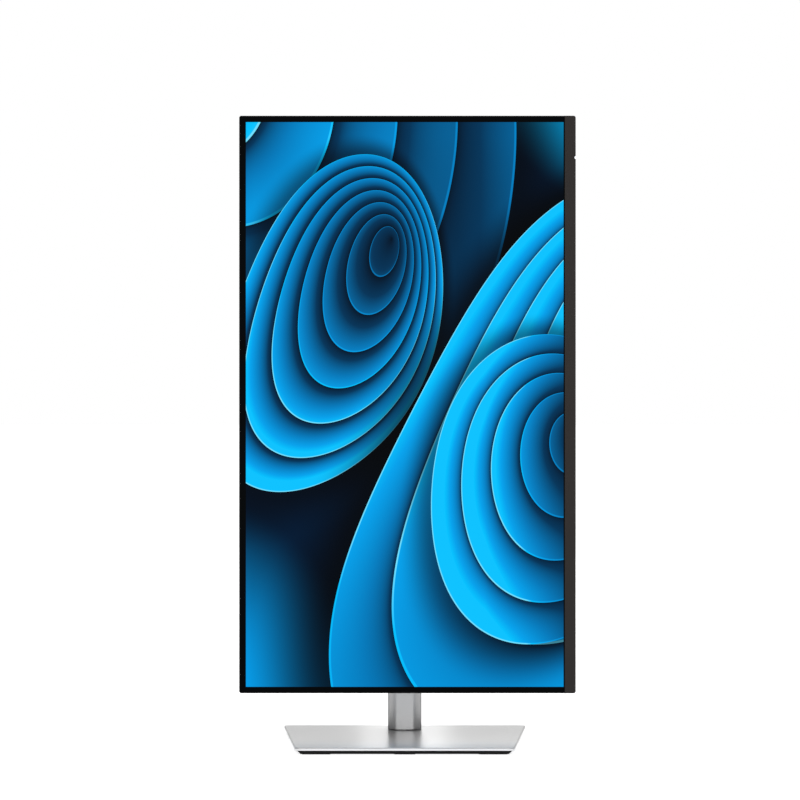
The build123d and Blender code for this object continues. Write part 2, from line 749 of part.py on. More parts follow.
def tilt_springs():
    """Counterbalance torsion springs round the tilt pin, one on each side of the neck."""
    coil = Helix(pitch=2.1, height=7.4, radius=5.0)
    wire = sweep(Plane(coil @ 0, z_dir=coil % 0) * Circle(0.9), path=coil, is_frenet=True)
    right = Pos(7.4, TILT_Y, PIVOT_Z) * Rot(0, 90, 0) * wire
    left = Pos(-7.4, TILT_Y, PIVOT_Z) * Rot(0, -90, 0) * wire
    return [right, left]


HUB_HALF = 27.0
HUB_FRONT_Y = 12.2
HUB_BACK_Y = 34.0
HUB_WALL = 1.6


def hub_cover():
    """Plastic cap over the tilt and pivot hardware, open to the neck."""
    mid = (HUB_FRONT_Y + HUB_BACK_Y) / 2
    body = Pos(0, mid, PIVOT_Z) * Box(2 * HUB_HALF, HUB_BACK_Y - HUB_FRONT_Y, 2 * HUB_HALF)
    body = fillet(body.edges().filter_by(Axis.Y), 9)
    body = fillet(body.faces().sort_by(Axis.Y)[-1].edges(), 4)
    half = HUB_HALF - HUB_WALL
    hollow = block(-half, half, 0, HUB_BACK_Y - HUB_WALL, PIVOT_Z - half, PIVOT_Z + half)
    hollow = fillet(hollow.edges().filter_by(Axis.Y), 7.4)
    hollow = fillet(hollow.faces().sort_by(Axis.Y)[-1].edges(), 2.4)
    neck_way = block(-7.5, 7.5, 25, 40, PIVOT_Z - 17, PIVOT_Z + 16)
    hinge_way = block(-24, 24, 25, 40, PIVOT_Z - 10, PIVOT_Z + 10)
    return body - hollow - neck_way - hinge_way


# ---------------------------------------------------------------- lift carriage
def carriage():
    """Neck and sliding block in one casting."""
    top = PIVOT_Z + CARRIAGE_TOP
    low = PIVOT_Z + CARRIAGE_BOTTOM
    body = block(-13.2, 13.2, 51, 75.5, low, top)
    front_edges = body.edges().filter_by(Axis.Z).sort_by(Axis.Y)[:2]
    body = fillet(front_edges, 5)
    roll_z = PIVOT_Z + ROLL_DROP
    body = body - rod_x(-4.6, 4.6, ROLL_Y, roll_z, ROLL_R + 1.3)
    body = body - block(-4.6, 4.6, 70, 80, low - 1, top + 1)
    side_view = Polyline(
        (TILT_Y, PIVOT_Z - 7),
        (TILT_Y, PIVOT_Z + 7),
        (42, top),
        (55, top),
        (55, PIVOT_Z - 16),
        (44, PIVOT_Z - 16),
        close=True,
    )
    neck = extrude(Plane.YZ.offset(-6) * make_face(side_view), amount=12)
    neck = neck + rod_x(-6, 6, TILT_Y, PIVOT_Z, 7)
    body = body + neck - rod_x(-10, 10, TILT_Y, PIVOT_Z, TILT_PIN_R + RUN)
    for x in (-RAIL_X, RAIL_X):
        body = body - rod_z(x, RAIL_Y, low - 1, top + 1, RAIL_R + 0.6)
        body = body - rod_z(x, RAIL_Y, low - 1, low + 12, BUSH_R + FIT)
        body = body - rod_z(x, RAIL_Y, top - 12, top + 1, BUSH_R + FIT)
    return body + rod_x(-12.8, 12.8, ROLL_Y, roll_z, 2.0)


def rail_bushes():
    bushes = []
    for x in (-RAIL_X, RAIL_X):
        for z0 in (PIVOT_Z + CARRIAGE_BOTTOM, PIVOT_Z + CARRIAGE_TOP - 12):
            ring = rod_z(x, RAIL_Y, z0, z0 + 12, BUSH_R) - rod_z(x, RAIL_Y, z0 - 1, z0 + 13, RAIL_R + RUN)
            bushes.append(ring)
    return bushes


def spring_spool():
    z = PIVOT_Z + ROLL_DROP
    return rod_x(-4.3, 4.3, ROLL_Y, z, SPOOL_R) - rod_x(-5, 5, ROLL_Y, z, 2.0 + RUN)


def spring_roll():
    """Wound part of the constant-force spring that carries the display's weight."""
    z = PIVOT_Z + ROLL_DROP
    return rod_x(-TAPE_HALF_W, TAPE_HALF_W, ROLL_Y, z, ROLL_R) - rod_x(-5, 5, ROLL_Y, z, SPOOL_R + FIT)


TAPE_FRONT_Y = ROLL_Y + ROLL_R + 0.05
TAPE_T = 0.25
TAPE_TOP_Z = 352.0


def spring_tape():
    return block(
        -TAPE_HALF_W,
        TAPE_HALF_W,
        TAPE_FRONT_Y,
        TAPE_FRONT_Y + TAPE_T,
        PIVOT_Z + ROLL_DROP,
        TAPE_TOP_Z,
    )


# ---------------------------------------------------------------- column
def column_outline(inset):
    """Plan of the column: flat front between two large rounds, smaller rounds behind."""
    half = COLUMN_HALF_W - inset
    front = COLUMN_FRONT_Y + inset
    back = COLUMN_BACK_Y - inset
    sheet = Pos(0, (front + back) / 2) * Rectangle(2 * half, back - front)
    front_corners = sheet.vertices().sort_by(Axis.Y)[:2]
    sheet = fillet(front_corners, COLUMN_FRONT_R - inset)
    back_corners = sheet.vertices().sort_by(Axis.Y)[-2:]
    return fillet(back_corners, COLUMN_BACK_R - inset)


def column_solid(inset, z0, z1):
    return extrude(Pos(0, 0, z0) * column_outline(inset), amount=z1 - z0)


POST_PLACES = [(-9.3, 51.8), (9.3, 51.8), (-10.3, 77.2), (10.3, 77.2)]
POST_R = 3.3


def cable_slot_body(width, height, y0, y1):
    outline = SlotOverall(height, width, rotation=90)
    placed = Plane.XZ.offset(-y1) * Pos(0, CABLE_SLOT_Z) * outline
    return extrude(placed, amount=y1 - y0)


def column_shell():
    shell = column_solid(0, COLUMN_BOTTOM_Z, COLUMN_TOP_Z)
    shell = shell - column_solid(COLUMN_WALL, COLUMN_BOTTOM_Z - 1, COLUMN_TOP_Z + 1)
    shell = shell - block(-SLOT_HALF_W, SLOT_HALF_W, 40, 52, SLOT_BOTTOM_Z, COLUMN_TOP_Z + 1)
    inside = column_solid(COLUMN_WALL - 0.4, COLUMN_BOTTOM_Z, COLUMN_TOP_Z)
    for x, y in POST_PLACES:
        post = rod_z(x, y, 11.7, 26, POST_R) & inside
        shell = shell + post - rod_z(x, y, 11, 24, 1.3 + FIT)
    width = CABLE_SLOT_W + 3 + 2 * FIT
    height = CABLE_SLOT_H + 3 + 2 * FIT
    return shell - cable_slot_body(width, height, 40, 90)


def cable_slot_liner():
    outer = cable_slot_body(CABLE_SLOT_W + 3, CABLE_SLOT_H + 3, COLUMN_FRONT_Y, COLUMN_BACK_Y)
    return outer - cable_slot_body(CABLE_SLOT_W, CABLE_SLOT_H, 40, 90)


def column_cap():
    cap = column_solid(0, COLUMN_TOP_Z, CAP_TOP_Z)
    cap = fillet(cap.faces().sort_by(Axis.Z)[-1].edges(), 1.2)
    tongue_y = TAPE_FRONT_Y + TAPE_T
    return cap + block(-3.8, 3.8, tongue_y, 77, 346, COLUMN_TOP_Z)


def guide_rails():
    """Two upright rods on their cross plate."""
    rails = column_solid(COLUMN_WALL + 0.1, RAIL_BOTTOM_Z - 4, RAIL_BOTTOM_Z)
    for x in (-RAIL_X, RAIL_X):
        rails = rails + rod_z(x, RAIL_Y, RAIL_BOTTOM_Z, COLUMN_TOP_Z, RAIL_R)
    return rails


FOOT_PLATE_Z = 7.7
FOOT_PLATE_TOP_Z = 11.7
SPINDLE_R = 6.0


def column_foot():
    """Plate at the column's lower end that turns on the base's spindle."""
    plate = column_solid(COLUMN_WALL + 0.1, FOOT_PLATE_Z, FOOT_PLATE_TOP_Z)
    plate = plate - rod_z(0, SWIVEL_Y, 0, 20, SPINDLE_R + RUN)
    for x, y in POST_PLACES:
        plate = plate - rod_z(x, y, 0, 20, 1.5) - rod_z(x, y, 0, 9.8, 2.5)
    return plate


def column_screws():
    return [
        rod_z(x, y, 8.0, 9.8, 2.4) + rod_z(x, y, 9.8, 22, 1.3)
        for x, y in POST_PLACES
    ]


# ---------------------------------------------------------------- base
def base_outline(inset):
    """Plan of the base: wider behind than in front."""
    flank = math.atan2(BASE_BACK_HALF_W - BASE_FRONT_HALF_W, 2 * BASE_HALF_DEPTH)
    front = BASE_FRONT_HALF_W - inset / math.cos(flank) + inset * math.tan(flank)
    back = BASE_BACK_HALF_W - inset / math.cos(flank) - inset * math.tan(flank)
    depth = BASE_HALF_DEPTH - inset
    plan = make_face(
        Polyline((-front, -depth), (front, -depth), (back, depth), (-back, depth), close=True)
    )
    return fillet(plan.vertices(), max(4.0 - inset, 1.0))


def base_plate():
    """Silver metal top of the base, with a small bevel round its upper edge."""
    plate = extrude(Pos(0, 0, COVER_PLATE_Z) * base_outline(0), amount=BASE_TOP_Z - COVER_PLATE_Z)
    plate = chamfer(plate.faces().sort_by(Axis.Z)[-1].edges(), 0.8)
    return plate - rod_z(0, SWIVEL_Y, 0, 20, SPINDLE_R + FIT)


def foot_places():
    """Rubber feet, as x from, x to, y from, y to."""
    places = []
    for y0 in (-84.0, 76.0):
        places.append((-94.0, -68.0, y0, y0 + 8))
        places.append((-9.5, 9.5, y0, y0 + 8))
        places.append((68.0, 94.0, y0, y0 + 8))
    return places


def base_tray():
    """Black tray under the plate, bevelled back all round its lower edge."""
    facing_down = Plane(origin=(0, 0, COVER_PLATE_Z), x_dir=(1, 0, 0), z_dir=(0, 0, -1))
    flipped = mirror(base_outline(TRAY_INSET), Plane.XZ)
    tray = extrude(facing_down * flipped, amount=COVER_PLATE_Z - TRAY_Z, taper=45)
    tray = tray - extrude(Pos(0, 0, TRAY_FLOOR_Z) * base_outline(WEIGHT_INSET), amount=10)
    tray = tray - rod_z(0, SWIVEL_Y, 0, 5, 12.5)
    for x0, x1, y0, y1 in foot_places():
        tray = tray - block(x0 - FIT, x1 + FIT, y0 - FIT, y1 + FIT, 0, 1.0)
    return tray


def base_feet():
    return [block(x0, x1, y0, y1, 0, 1.0) for x0, x1, y0, y1 in foot_places()]


def base_weight():
    """Steel plate inside the tray that keeps the stand from tipping."""
    depth = COVER_PLATE_Z - TRAY_FLOOR_Z
    weight = extrude(Pos(0, 0, TRAY_FLOOR_Z) * base_outline(WEIGHT_INSET + 0.1), amount=depth)
    weight = weight - rod_z(0, SWIVEL_Y, 0, 2.8, 12.0)
    return weight - rod_z(0, SWIVEL_Y, 0, 6, 3.3)


def swivel_spindle():
    """Shouldered spindle on the base, with a thread in its lower end."""
    spindle = rod_z(0, SWIVEL_Y, COVER_PLATE_Z, 19, SPINDLE_R)
    spindle = spindle + rod_z(0, SWIVEL_Y, BASE_TOP_Z, FOOT_PLATE_Z - 0.1, 13.4)
    return spindle - rod_z(0, SWIVEL_Y, COVER_PLATE_Z - 1, 13, 2.5)


def swivel_washers():
    hole = SPINDLE_R + FIT
    low = FOOT_PLATE_TOP_Z + 0.05
    rings = []
    for z0 in (low, low + 0.75):
        rings.append(rod_z(0, SWIVEL_Y, z0, z0 + 0.7, 9.8) - rod_z(0, SWIVEL_Y, z0 - 1, z0 + 2, hole))
    return rings


def swivel_nut():
    side = RegularPolygon(8.5, 6, major_radius=False)
    body = extrude(Pos(0, SWIVEL_Y, 13.3) * side, amount=5)
    return body - rod_z(0, SWIVEL_Y, 10, 20, SPINDLE_R + FIT)


def base_screw():
    """Captive thumbscrew from below that holds the base to the spindle."""
    head = rod_z(0, SWIVEL_Y, 0.7, 2.7, 11)
    for i in range(16):
        angle = 2 * math.pi * i / 16
        head = head - rod_z(11.2 * math.cos(angle), SWIVEL_Y + 11.2 * math.sin(angle), 0, 4, 0.9)
    head = head - block(-8, 8, SWIVEL_Y - 0.9, SWIVEL_Y + 0.9, 0, 1.6)
    return head + rod_z(0, SWIVEL_Y, 2.7, 12.5, 2.5 - RUN)


# ---------------------------------------------------------------- all nodes
def head_nodes():
    return {
        "front_frame": front_frame(),
        "chin_strip": chin_strip(),
        "status_light": light_pipe(),
        "colour_filter_glass": colour_filter_glass(),
        "transistor_glass": transistor_glass(),
        "polarizers": group([front_polarizer(), rear_polarizer()]),
        "panel_frame": panel_frame(),
        "optical_films": group([film(y0, y1) for y0, y1 in FILM_PLACES]),
        "light_guide": light_guide(),
        "led_strip": led_strip(),
        "panel_tray": panel_tray(),
        "driver_tapes": group(driver_tapes()),
        "driver_board": driver_board(),
        "board_bracket": board_bracket(),
        "main_board": main_board(),
        "power_board": power_board(),
        "board_chips": group(board_chips()),
        "chip_heatsink": chip_heatsink(),
        "signal_sockets": group(socket_shells()),
        "power_inlet": power_inlet(),
        "socket_contacts": group(socket_tongues() + inlet_pins()),
        "power_transformer": power_transformer(),
        "power_parts": group(capacitors() + power_coils()),
        "key_board": key_board(),
        "key_switches": group([stick_switch(), button_switch()]),
        "rear_cover": rear_cover(),
        "cover_screws": group(cover_screws()),
        "power_button": power_button(),
        "stick_plunger": stick_plunger(),
        "stick_ring": stick_ring(),
        "stick_cap": stick_cap(),
        "release_button": release_button(),
        "release_latch": release_latch(),
        "release_spring": release_spring(),
        "mount_plate": mount_plate(),
        "pivot_shaft": pivot_shaft(),
        "pivot_washers": group(pivot_washers()),
        "pivot_nut": pivot_nut(),
    }


def stand_nodes():
    return {
        "tilt_bracket": tilt_bracket(),
        "tilt_pin": tilt_pin(),
        "tilt_springs": group(tilt_springs()),
        "hub_cover": hub_cover(),
        "carriage": carriage(),
        "rail_bushes": group(rail_bushes()),
        "spring_spool": spring_spool(),
        "spring_roll": spring_roll(),
        "spring_tape": spring_tape(),
        "column_shell": column_shell(),
        "cable_slot_liner": cable_slot_liner(),
        "column_cap": column_cap(),
        "guide_rails": guide_rails(),
        "column_foot": column_foot(),
        "column_screws": group(column_screws()),
        "base_plate": base_plate(),
        "base_tray": base_tray(),
        "base_feet": group(base_feet()),
        "base_weight": base_weight(),
        "swivel_spindle": swivel_spindle(),
        "swivel_fasteners": group(swivel_washers() + [swivel_nut()]),
        "base_screw": base_screw(),
    }


os.makedirs("parts", exist_ok=True)
for node_name, node_part in head_nodes().items():
    save(node_name, node_part, in_head=True)
for node_name, node_part in stand_nodes().items():
    save(node_name, node_part)
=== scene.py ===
import json
import math

import bpy
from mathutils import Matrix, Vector

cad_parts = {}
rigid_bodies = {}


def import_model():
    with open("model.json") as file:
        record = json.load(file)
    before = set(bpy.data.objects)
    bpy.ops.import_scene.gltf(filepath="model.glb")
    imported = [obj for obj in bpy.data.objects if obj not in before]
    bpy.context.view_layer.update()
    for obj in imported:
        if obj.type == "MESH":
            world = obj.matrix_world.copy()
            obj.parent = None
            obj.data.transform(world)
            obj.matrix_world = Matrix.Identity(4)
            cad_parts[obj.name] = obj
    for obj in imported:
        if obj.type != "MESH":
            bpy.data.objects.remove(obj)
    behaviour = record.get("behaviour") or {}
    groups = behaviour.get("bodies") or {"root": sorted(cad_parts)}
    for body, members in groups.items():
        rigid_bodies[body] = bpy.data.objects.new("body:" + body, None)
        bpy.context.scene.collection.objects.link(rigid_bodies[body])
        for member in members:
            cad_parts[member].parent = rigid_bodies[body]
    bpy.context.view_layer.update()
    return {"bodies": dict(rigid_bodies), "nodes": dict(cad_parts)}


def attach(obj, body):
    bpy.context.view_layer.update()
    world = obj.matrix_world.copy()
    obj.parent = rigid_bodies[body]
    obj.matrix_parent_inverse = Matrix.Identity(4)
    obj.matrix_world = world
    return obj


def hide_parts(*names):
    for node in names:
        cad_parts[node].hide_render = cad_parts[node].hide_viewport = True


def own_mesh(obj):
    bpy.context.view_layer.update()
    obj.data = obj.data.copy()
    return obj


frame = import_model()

MM = 0.001
PIVOT_Z = 0.320          # height of the display's turning centre
PICTURE_HALF_W = 0.14823
PICTURE_HALF_H = 0.26352
PER_DM = 10.0            # metres to decimetres
WHITE = (1.0, 1.0, 1.0, 1.0)

scene = bpy.context.scene
nodes = frame["nodes"]


def clear_start_scene():
    """Removes whatever the start-up file holds besides the frame."""
    kept = set(nodes.values()) | set(frame["bodies"].values())
    for thing in list(bpy.data.objects):
        if thing not in kept:
            bpy.data.objects.remove(thing)


clear_start_scene()


# ---------------------------------------------------------------- camera, light and floor

CAMERA_Y = -2.618
LENS = 124.7
SENSOR = 36.0
SHIFT = (-0.0059, 0.0056)
CLIP_START, CLIP_END = 0.05, 200.0

WHITE_HALF = 0.08        # how far to each side the surround is white, as the sideways part of a unit vector
GREY_FROM = 0.45         # and from where on it is grey
SURROUND_GREY = (0.3, 0.3, 0.303, 1.0)
DIM_FROM, DIM_TO = 0.25, 0.8    # the upward part of a unit vector between which it falls to
OVERHEAD_STRENGTH = 0.6

FLOOR_HALF = 40.0
FLOOR_DROP = 0.05 * MM   # keeps the floor clear of the feet's faces

# name, place, aim, width, height, watts
LAMPS = [
    ("front", (0.0, -3.1, 0.45), (0.0, 0.0, 0.3), 1.0, 1.2, 9.0),
    ("key", (-0.9, -2.6, 2.6), (0.0, 0.0, 0.25), 1.4, 1.4, 12.0),
    ("back", (0.9, 2.6, 2.4), (0.0, 0.0, 0.3), 1.8, 1.6, 32.0),
    ("sweep", (0.0, 0.60, 0.16), (0.0, 0.0, 0.0), 0.10, 0.16, 0.07),
]


def make_camera():
    """Straight on at the height of the turning centre, through a long lens."""
    data = bpy.data.cameras.new("camera")
    data.lens = LENS
    data.sensor_width = SENSOR
    data.shift_x, data.shift_y = SHIFT
    data.clip_start, data.clip_end = CLIP_START, CLIP_END
    camera = bpy.data.objects.new("camera", data)
    camera.location = (0.0, CAMERA_Y, PIVOT_Z)
    camera.rotation_euler = (math.radians(90.0), 0.0, 0.0)
    scene.collection.objects.link(camera)
    scene.camera = camera


def make_world():
    """A plain white surround. What the object mirrors of it is dimmer to the sides and overhead,
    as it is between flags."""
    world = bpy.data.worlds.new("studio")
    scene.world = world
    world.use_nodes = True
    tree = world.node_tree
    tree.nodes.clear()
    out = tree.nodes.new("ShaderNodeOutputWorld")
    surround = tree.nodes.new("ShaderNodeBackground")
    backdrop = tree.nodes.new("ShaderNodeBackground")
    seen = tree.nodes.new("ShaderNodeLightPath")
    choose = tree.nodes.new("ShaderNodeMixShader")
    coords = tree.nodes.new("ShaderNodeTexCoord")
    split = tree.nodes.new("ShaderNodeSeparateXYZ")
    sideways = tree.nodes.new("ShaderNodeMath")
    ramp = tree.nodes.new("ShaderNodeValToRGB")
    overhead = tree.nodes.new("ShaderNodeMapRange")
    sideways.operation = "ABSOLUTE"
    ramp.color_ramp.interpolation = "EASE"
    ramp.color_ramp.elements[0].position = WHITE_HALF
    ramp.color_ramp.elements[0].color = WHITE
    ramp.color_ramp.elements[1].position = GREY_FROM
    ramp.color_ramp.elements[1].color = SURROUND_GREY
    overhead.inputs["From Min"].default_value = DIM_FROM
    overhead.inputs["From Max"].default_value = DIM_TO
    overhead.inputs["To Min"].default_value = 1.0
    overhead.inputs["To Max"].default_value = OVERHEAD_STRENGTH
    link = tree.links.new
    link(coords.outputs["Generated"], split.inputs[0])
    link(split.outputs["X"], sideways.inputs[0])
    link(sideways.outputs[0], ramp.inputs["Fac"])
    link(split.outputs["Z"], overhead.inputs["Value"])
    link(ramp.outputs["Color"], surround.inputs["Color"])
    link(overhead.outputs["Result"], surround.inputs["Strength"])
    backdrop.inputs["Color"].default_value = WHITE
    link(seen.outputs["Is Camera Ray"], choose.inputs["Fac"])
    link(surround.outputs[0], choose.inputs[1])
    link(backdrop.outputs[0], choose.inputs[2])
    link(choose.outputs[0], out.inputs["Surface"])


def soft_box(name, place, aim, width, height, watts):
    """A rectangular lamp that the camera itself doesn't see."""
    data = bpy.data.lights.new(name, "AREA")
    data.shape = "RECTANGLE"
    data.size, data.size_y = width, height
    data.energy = watts
    lamp = bpy.data.objects.new(name, data)
    lamp.visible_camera = False
    lamp.location = place
    lamp.rotation_euler = (Vector(aim) - Vector(place)).to_track_quat("-Z", "Y").to_euler()
    scene.collection.objects.link(lamp)


def make_floor(material):
    """A plain floor, wide enough that its edge is out of sight."""
    mesh = bpy.data.meshes.new("floor")
    half = FLOOR_HALF
    corners = [(-half, -half, 0.0), (half, -half, 0.0), (half, half, 0.0), (-half, half, 0.0)]
    mesh.from_pydata(corners, [], [(0, 1, 2, 3)])
    floor = bpy.data.objects.new("floor", mesh)
    floor.location = (0.0, 0.0, -FLOOR_DROP)
    mesh.materials.append(material)
    scene.collection.objects.link(floor)


# ---------------------------------------------------------------- node helpers

class Graph:
    """A material's node tree with short calls for the sums that the patterns are made of."""

    def __init__(self, name):
        self.material = bpy.data.materials.new(name)
        self.material.use_nodes = True
        self.tree = self.material.node_tree
        self.tree.nodes.clear()
        self.shader = self.tree.nodes.new("ShaderNodeBsdfPrincipled")
        out = self.tree.nodes.new("ShaderNodeOutputMaterial")
        self.link(self.shader.outputs["BSDF"], out.inputs["Surface"])
        self.coords = self.tree.nodes.new("ShaderNodeTexCoord").outputs["Object"]

    def link(self, source, target):
        self.tree.links.new(source, target)

    def put(self, target, value):
        """Links a socket, or sets a plain value."""
        if isinstance(value, bpy.types.NodeSocket):
            self.link(value, target)
        else:
            target.default_value = value

    def math(self, operation, *values):
        node = self.tree.nodes.new("ShaderNodeMath")
        node.operation = operation
        for target, value in zip(node.inputs, values):
            self.put(target, value)
        return node.outputs[0]

    def add(self, a, b):
        return self.math("ADD", a, b)

    def sub(self, a, b):
        return self.math("SUBTRACT", a, b)

    def mul(self, a, b):
        return self.math("MULTIPLY", a, b)

    def root(self, a):
        return self.math("SQRT", a)

    def between(self, value, low, high):
        """0 below low and 1 above high, eased in between."""
        node = self.tree.nodes.new("ShaderNodeMapRange")
        node.interpolation_type = "SMOOTHSTEP"
        self.put(node.inputs["Value"], value)
        self.put(node.inputs["From Min"], low)
        self.put(node.inputs["From Max"], high)
        return node.outputs["Result"]

    def scaled(self, value, low, high, to_low, to_high):
        """Runs from to_low at low to to_high at high, and stays there outside them."""
        node = self.tree.nodes.new("ShaderNodeMapRange")
        for name, amount in zip(("Value", "From Min", "From Max", "To Min", "To Max"),
                                (value, low, high, to_low, to_high)):
            self.put(node.inputs[name], amount)
        return node.outputs["Result"]

    def split(self, vector):
        node = self.tree.nodes.new("ShaderNodeSeparateXYZ")
        self.link(vector, node.inputs[0])
        return node.outputs

    def stretched(self, scale):
        """Object coordinates multiplied by a vector."""
        node = self.tree.nodes.new("ShaderNodeMapping")
        self.link(self.coords, node.inputs["Vector"])
        node.inputs["Scale"].default_value = scale
        return node.outputs["Vector"]

    def noise(self, scale, detail=2.0, roughness=0.5, vector=None):
        node = self.tree.nodes.new("ShaderNodeTexNoise")
        self.link(vector or self.coords, node.inputs["Vector"])
        node.inputs["Scale"].default_value = scale
        node.inputs["Detail"].default_value = detail
        node.inputs["Roughness"].default_value = roughness
        return node.outputs["Fac"]

    def cells(self, scale, feature="F1", vector=None):
        node = self.tree.nodes.new("ShaderNodeTexVoronoi")
        node.feature = feature
        self.link(vector or self.coords, node.inputs["Vector"])
        node.inputs["Scale"].default_value = scale
        return node.outputs["Distance"]

    def mix(self, share, a, b, kind="MIX"):
        node = self.tree.nodes.new("ShaderNodeMix")
        node.data_type = "RGBA"
        node.blend_type = kind
        self.put(node.inputs["Factor"], share)
        self.put(node.inputs[6], a)
        self.put(node.inputs[7], b)
        return node.outputs[2]

    def ramp(self, value, stops):
        node = self.tree.nodes.new("ShaderNodeValToRGB")
        band = node.color_ramp
        while len(band.elements) < len(stops):
            band.elements.new(0.5)
        for element, (position, colour) in zip(band.elements, stops):
            element.position = position
            element.color = colour
        self.put(node.inputs["Fac"], value)
        return node.outputs["Color"]

    def rounded_normal(self, radius):
        """The surface normal with the edges softened, as a moulded or tumbled edge is."""
        node = self.tree.nodes.new("ShaderNodeBevel")
        node.samples = 4
        node.inputs["Radius"].default_value = radius
        return node.outputs["Normal"]

    def bump(self, height, distance, strength=1.0, normal=None):
        node = self.tree.nodes.new("ShaderNodeBump")
        node.inputs["Strength"].default_value = strength
        node.inputs["Distance"].default_value = distance
        self.link(height, node.inputs["Height"])
        if normal is not None:
            self.link(normal, node.inputs["Normal"])
        return node.outputs["Normal"]

    def surface(self, **values):
        """Sets the shader's sockets by short names and gives back the material."""
        names = {"colour": "Base Color", "rough": "Roughness", "metal": "Metallic", "normal": "Normal",
                 "specular": "Specular IOR Level", "coat": "Coat Weight", "coat_rough": "Coat Roughness",
                 "ior": "IOR", "through": "Transmission Weight", "glow": "Emission Color",
                 "glow_strength": "Emission Strength", "sheen": "Sheen Weight",
                 "edge_tint": "Specular Tint"}
        for key, value in values.items():
            self.put(self.shader.inputs[names[key]], value)
        return self.material


def shade(colour, factor):
    """A colour made darker or lighter."""
    return (colour[0] * factor, colour[1] * factor, colour[2] * factor, 1.0)


# ---------------------------------------------------------------- finishes

def moulded_plastic(name, colour, rough, grain, depth, edge, spread=0.12, specular=0.5):
    """Injection-moulded plastic with a spark-eroded grain, faint flow variation and softened edges.
    grain is in cells to the metre, and depth and edge are in millimetres."""
    g = Graph(name)
    flow = g.noise(18.0, detail=3.0)
    pits = g.cells(grain, "SMOOTH_F1")
    fine = g.noise(grain * 2.2, detail=2.0)
    height = g.add(g.mul(pits, 0.8), g.mul(fine, 0.4))
    tint = g.scaled(g.add(g.mul(flow, 0.7), g.mul(fine, 0.3)), 0.3, 0.7, 0.0, 1.0)
    base = g.mix(tint, shade(colour, 1.0 - spread), shade(colour, 1.0 + spread))
    return g.surface(
        colour=base,
        rough=g.scaled(flow, 0.3, 0.7, rough - 0.04, rough + 0.04),
        specular=specular,
        normal=g.bump(height, depth * MM, 0.55, g.rounded_normal(edge * MM)),
    )


def brushed_metal(name, colour, rough, along, lines, edge):
    """Metal with a fine linear grain along one axis.
    lines is in strokes to the metre across the grain, and edge is in millimetres."""
    spread, depth = 0.05, 0.004
    g = Graph(name)
    stretch = {"x": (0.02, 1.0, 1.0), "y": (1.0, 0.02, 1.0), "z": (1.0, 1.0, 0.02)}[along]
    strokes = g.noise(lines, detail=3.0, roughness=0.65, vector=g.stretched(stretch))
    cloud = g.noise(14.0, detail=2.0)
    tint = g.scaled(strokes, 0.3, 0.7, 0.0, 1.0)
    return g.surface(
        colour=g.mix(tint, shade(colour, 1.0 - spread), shade(colour, 1.0 + spread)),
        metal=1.0,
        rough=g.add(g.scaled(strokes, 0.3, 0.7, rough - 0.05, rough + 0.05),
                    g.scaled(cloud, 0.3, 0.7, -0.02, 0.02)),
        normal=g.bump(strokes, depth * MM, 0.5, g.rounded_normal(edge * MM)),
    )


def blasted_metal(name, colour, rough, grain, edge, edge_tint, metal):
    """Bead-blasted and anodised or lacquered metal: an even satin with a very fine sparkle.
    Such a skin mirrors less at a glancing angle than bare metal, which edge_tint says, and it
    scatters part of the light, which metal below 1 says. edge is in millimetres."""
    spread, depth = 0.04, 0.006
    g = Graph(name)
    grit = g.noise(grain, detail=3.0, roughness=0.6)
    cloud = g.noise(9.0, detail=2.0)
    return g.surface(
        colour=g.mix(g.scaled(g.add(g.mul(grit, 0.6), g.mul(cloud, 0.4)), 0.35, 0.65, 0.0, 1.0),
                     shade(colour, 1.0 - spread), shade(colour, 1.0 + spread)),
        metal=metal,
        rough=g.scaled(grit, 0.3, 0.7, rough - 0.04, rough + 0.04),
        edge_tint=(edge_tint, edge_tint, edge_tint, 1.0),
        normal=g.bump(grit, depth * MM, 0.6, g.rounded_normal(edge * MM)),
    )


def powder_coat(name, colour, rough):
    """Powder coat: a fine orange peel over metal."""
    g = Graph(name)
    peel = g.noise(1400.0, detail=2.0)
    fine = g.noise(6000.0, detail=1.0)
    return g.surface(
        colour=g.mix(g.scaled(fine, 0.3, 0.7, 0.0, 1.0), shade(colour, 0.88), shade(colour, 1.12)),
        rough=g.scaled(peel, 0.3, 0.7, rough - 0.05, rough + 0.05),
        normal=g.bump(g.add(peel, g.mul(fine, 0.3)), 0.02 * MM, 0.6, g.rounded_normal(0.3 * MM)),
    )


def circuit_board():
    """Green solder mask over a grid of copper tracks, with small plated holes."""
    g = Graph("circuit_board")
    x, _, z = g.split(g.coords)
    weave = g.mul(g.math("SINE", g.mul(x, 5200.0)), g.math("SINE", g.mul(z, 5200.0)))
    region = g.cells(160.0, "F1", g.stretched((1.0, 0.0, 1.0)))
    across = g.math("FRACT", g.mul(g.add(x, g.mul(region, 0.004)), 420.0))
    upward = g.math("FRACT", g.mul(g.add(z, g.mul(region, 0.004)), 420.0))
    choose = g.math("GREATER_THAN", g.noise(55.0, detail=0.0), 0.5)
    line = g.add(g.mul(choose, across), g.mul(g.sub(1.0, choose), upward))
    track = g.between(g.math("ABSOLUTE", g.sub(line, 0.5)), 0.24, 0.2)
    copper = g.mul(track, g.between(g.noise(90.0, detail=0.0), 0.42, 0.46))
    holes = g.between(g.cells(330.0, "F1", g.stretched((1.0, 0.0, 1.0))), 0.16, 0.12)
    green = g.mix(copper, (0.008, 0.075, 0.03, 1.0), (0.02, 0.16, 0.06, 1.0))
    colour = g.mix(holes, green, (0.62, 0.56, 0.42, 1.0))
    height = g.add(copper, g.mul(weave, 0.05))
    return g.surface(colour=colour, rough=0.32, coat=0.4, coat_rough=0.15,
                     normal=g.bump(height, 0.02 * MM, 0.7))


